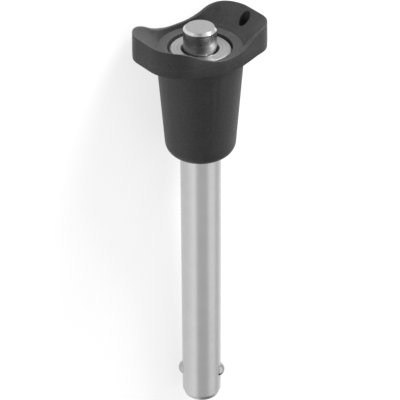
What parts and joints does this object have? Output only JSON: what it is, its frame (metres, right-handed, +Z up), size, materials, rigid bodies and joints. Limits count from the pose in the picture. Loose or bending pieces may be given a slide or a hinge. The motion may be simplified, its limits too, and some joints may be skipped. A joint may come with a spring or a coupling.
{
  "type": "ball lock pin",
  "caption": "Quick release ball lock pin with a winged plastic grip and a push button that frees the locking balls near the tip of its plain steel shank.",
  "frame": {"origin": "on the pin's axis, level with the seat at the lower end of the grip", "axes": "the pin lies on its side as it rests: +X points from its tip to its button, leaning up by about 3.3 degrees because the head is wider than the shank, +Z is up and +Y completes the frame"},
  "size_m": [0.1089, 0.0308, 0.0218],
  "materials": {
    "grip_plastic": "fine moulded grain, black",
    "sleeve_steel": "turned face with fine concentric marks",
    "shank_steel": "ground and satin",
    "button_steel": "satin end face, polished side and chamfer",
    "spindle_steel": "turned",
    "spring_steel": "drawn wire",
    "ball_steel": "polished"
  },
  "bodies": {
    "pin_body": {"grip": "grip_plastic", "guide_sleeve": "sleeve_steel", "shank": "shank_steel", "return_spring": "spring_steel"},
    "plunger": {"push_button": "button_steel", "spindle": "spindle_steel"},
    "ball_left": {"locking_ball_left": "ball_steel"},
    "ball_right": {"locking_ball_right": "ball_steel"}
  },
  "joints": [
    {"name": "button_press", "type": "slide", "parent": "pin_body", "child": "plunger", "axis": [-0.9983, 0, -0.0584], "range_m": [0, 0.004], "stiffness_N_per_m": 500, "springref_m": -0.008, "deforming": ["return_spring"]},
    {"name": "ball_left_slide", "type": "slide", "parent": "pin_body", "child": "ball_left", "axis": [-0.0402, -0.7242, 0.6884], "range_m": [0, 0.0011]},
    {"name": "ball_right_slide", "type": "slide", "parent": "pin_body", "child": "ball_right", "axis": [0.0402, 0.7242, -0.6884], "range_m": [0, 0.0011]}
  ],
  "couplings": [
    {"joint": "ball_left_slide", "follows": "button_press", "ratio": 0.275},
    {"joint": "ball_right_slide", "follows": "button_press", "ratio": 0.275}
  ]
}
